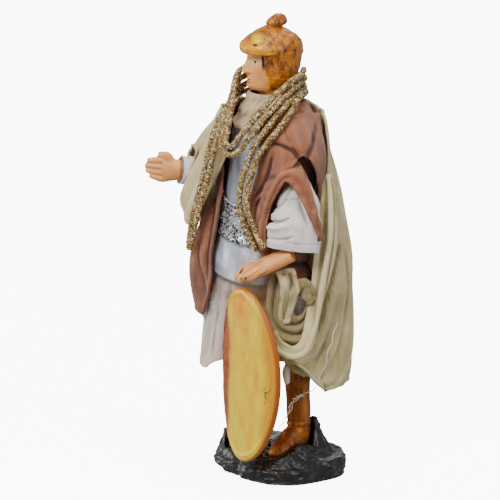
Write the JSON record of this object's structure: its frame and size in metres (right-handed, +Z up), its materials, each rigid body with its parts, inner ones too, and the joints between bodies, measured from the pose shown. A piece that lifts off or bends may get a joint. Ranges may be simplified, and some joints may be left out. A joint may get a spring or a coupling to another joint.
{
  "type": "nativity figurine",
  "caption": "Standing nativity soldier with a helmet, a cloth coat, cape and skirt, a gold cord stole and a long shield, on a rock base.",
  "frame": {"origin": "centre of the underside of the rock base, on the table", "axes": "+Z up the figure, -Y the way the figure's chest and boots face, +X towards its left arm"},
  "size_m": [0.0556, 0.0445, 0.1287],
  "materials": {
    "rock_paint": "glossy black-brown painted rock with worn edges",
    "boot_gold_left": "gold-copper paint on moulded resin",
    "boot_gold_right": "gold-copper paint on moulded resin",
    "skirt_cotton": "off-white stiffened cotton",
    "tunic_lame": "silver lame satin",
    "belt_glitter": "silver glitter ribbon",
    "coat_cloth": "thin rosy-brown cloth",
    "coat_cloth_left": "thin rosy-brown cloth",
    "coat_cloth_right": "thin rosy-brown cloth",
    "cape_cloth": "beige-olive wool-like cloth",
    "scarf_cloth": "beige gathered cloth",
    "shirt_cotton_left": "white stiffened cotton",
    "shirt_cotton_right": "white stiffened cotton",
    "skin_hand_left": "flesh paint on terracotta",
    "skin_hand_right": "flesh paint on terracotta",
    "skin_head": "flesh, hair and coppery helmet paint on terracotta",
    "gold_cord_stole": "braided gold lurex cord",
    "gold_cord_necklace": "braided gold lurex cord",
    "shield_gold": "gold and copper brushed paint"
  },
  "bodies": {
    "root": {"base": "rock_paint", "boot_left": "boot_gold_left", "boot_right": "boot_gold_right", "skirt": "skirt_cotton", "tunic": "tunic_lame", "belt": "belt_glitter", "coat": "coat_cloth", "coat_sleeve_left": "coat_cloth_left", "coat_sleeve_right": "coat_cloth_right", "cape": "cape_cloth", "scarf": "scarf_cloth", "shirt_sleeve_left": "shirt_cotton_left", "shirt_sleeve_right": "shirt_cotton_right", "hand_left": "skin_hand_left", "hand_right": "skin_hand_right", "head": "skin_head", "gold_cord_stole": "gold_cord_stole", "gold_cord_necklace": "gold_cord_necklace", "shield": "shield_gold"}
  },
  "joints": []
}
